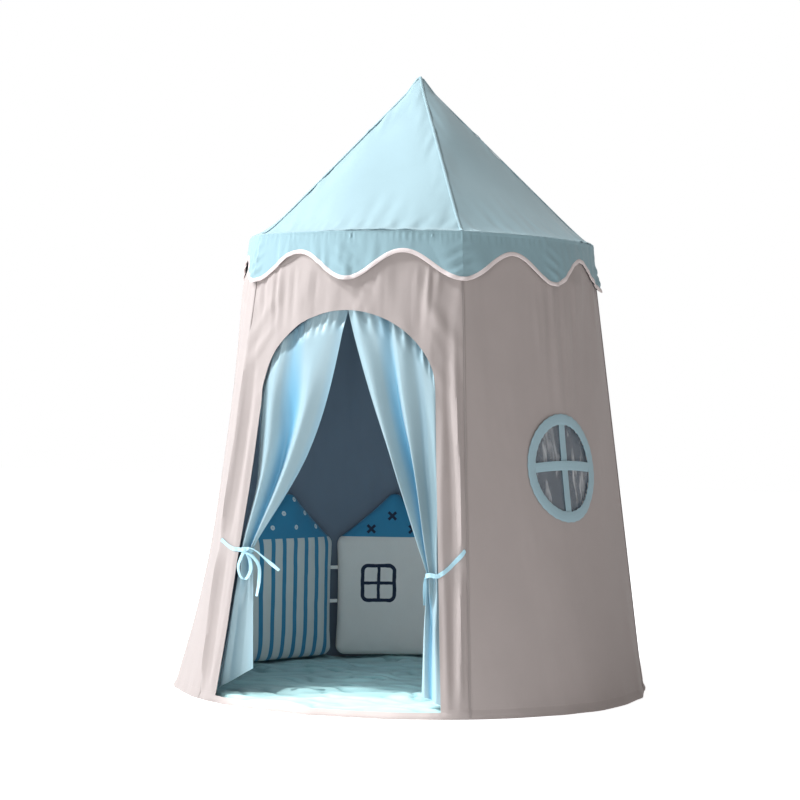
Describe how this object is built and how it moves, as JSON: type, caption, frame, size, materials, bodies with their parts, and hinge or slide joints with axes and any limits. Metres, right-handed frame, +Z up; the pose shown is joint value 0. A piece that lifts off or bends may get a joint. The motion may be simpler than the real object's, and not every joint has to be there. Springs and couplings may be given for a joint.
{
  "type": "kids play tent",
  "caption": "Round tower-shaped play tent with a pointed roof, scalloped valance, tied door curtains, a round window, a quilted mat and two folding house-shaped cushions",
  "frame": {"origin": "on the floor, on the tent's axis, at the middle of the mat's flat underside", "axes": "+Z up to the apex; the door faces -Y; +X is to the right of someone who looks into the door from outside"},
  "size_m": [1.1928, 1.195, 1.5694],
  "materials": {
    "roof_cloth": "light blue polyester cloth with a soft sheen",
    "valance_cloth": "light blue polyester cloth",
    "wall_cloth": "warm grey polyester cloth with a faint sheen",
    "binding_tape": "pinkish white bias tape",
    "curtain_cloth": "light blue satin-like cloth",
    "tie_tape": "light blue woven tape",
    "window_tape": "light blue tape, stitched at both edges",
    "window_film": "clear soft film",
    "mat_cloth": "pale teal quilted cloth",
    "striped_cushion_cloth": "pale cloth with narrow blue stripes under a dotted blue gable",
    "pale_cushion_cloth": "pale cloth with a navy four-pane window under a blue gable",
    "cushion_tie_tape": "white cotton tape",
    "pole_white": "white coated fibreglass",
    "rod_grey": "grey fibreglass",
    "connector_plastic": "moulded plastic"
  },
  "bodies": {
    "root": {"post_1": "pole_white", "rafter_1": "pole_white", "eave_hoop_rod_1": "rod_grey", "base_hoop_rod_1": "rod_grey", "eave_connector_1": "connector_plastic", "base_connector_1": "connector_plastic", "post_2": "pole_white", "rafter_2": "pole_white", "eave_hoop_rod_2": "rod_grey", "base_hoop_rod_2": "rod_grey", "eave_connector_2": "connector_plastic", "base_connector_2": "connector_plastic", "post_3": "pole_white", "rafter_3": "pole_white", "eave_hoop_rod_3": "rod_grey", "base_hoop_rod_3": "rod_grey", "eave_connector_3": "connector_plastic", "base_connector_3": "connector_plastic", "post_4": "pole_white", "rafter_4": "pole_white", "eave_hoop_rod_4": "rod_grey", "base_hoop_rod_4": "rod_grey", "eave_connector_4": "connector_plastic", "base_connector_4": "connector_plastic", "post_5": "pole_white", "rafter_5": "pole_white", "eave_hoop_rod_5": "rod_grey", "base_hoop_rod_5": "rod_grey", "eave_connector_5": "connector_plastic", "base_connector_5": "connector_plastic", "apex_hub": "connector_plastic", "roof_panel_front": "roof_cloth", "valance_front": "valance_cloth", "wall_panel_front": "wall_cloth", "roof_panel_right": "roof_cloth", "valance_right": "valance_cloth", "wall_panel_right": "wall_cloth", "roof_panel_back_right": "roof_cloth", "valance_back_right": "valance_cloth", "wall_panel_back_right": "wall_cloth", "roof_panel_back_left": "roof_cloth", "valance_back_left": "valance_cloth", "wall_panel_back_left": "wall_cloth", "roof_panel_left": "roof_cloth", "valance_left": "valance_cloth", "wall_panel_left": "wall_cloth", "valance_binding": "binding_tape", "window_ring": "window_tape", "window_muntins": "window_tape", "window_pane": "window_film", "right_tie": "tie_tape", "left_tie": "tie_tape", "floor_mat": "mat_cloth", "striped_house_cushion": "striped_cushion_cloth", "cushion_tie_lower": "cushion_tie_tape", "cushion_tie_upper": "cushion_tie_tape"},
    "right_curtain": {"right_curtain": "curtain_cloth"},
    "left_curtain": {"left_curtain": "curtain_cloth"},
    "window_house_cushion": {"window_house_cushion": "pale_cushion_cloth"}
  },
  "joints": [
    {"name": "right_curtain_swing", "type": "hinge", "parent": "root", "child": "right_curtain", "pos_m": [0.24496, -0.46369, 0.325], "axis": [0.0235, -0.1049, -0.9942], "range_deg": [0, 25]},
    {"name": "left_curtain_swing", "type": "hinge", "parent": "root", "child": "left_curtain", "pos_m": [-0.24145, -0.45815, 0.365], "axis": [0.0171, 0.1016, 0.9947], "range_deg": [0, 25]},
    {"name": "cushion_fold", "type": "hinge", "parent": "root", "child": "window_house_cushion", "pos_m": [-0.37422, 0.33109, 0.2], "axis": [0, 0, -1], "range_deg": [0, 50]}
  ]
}
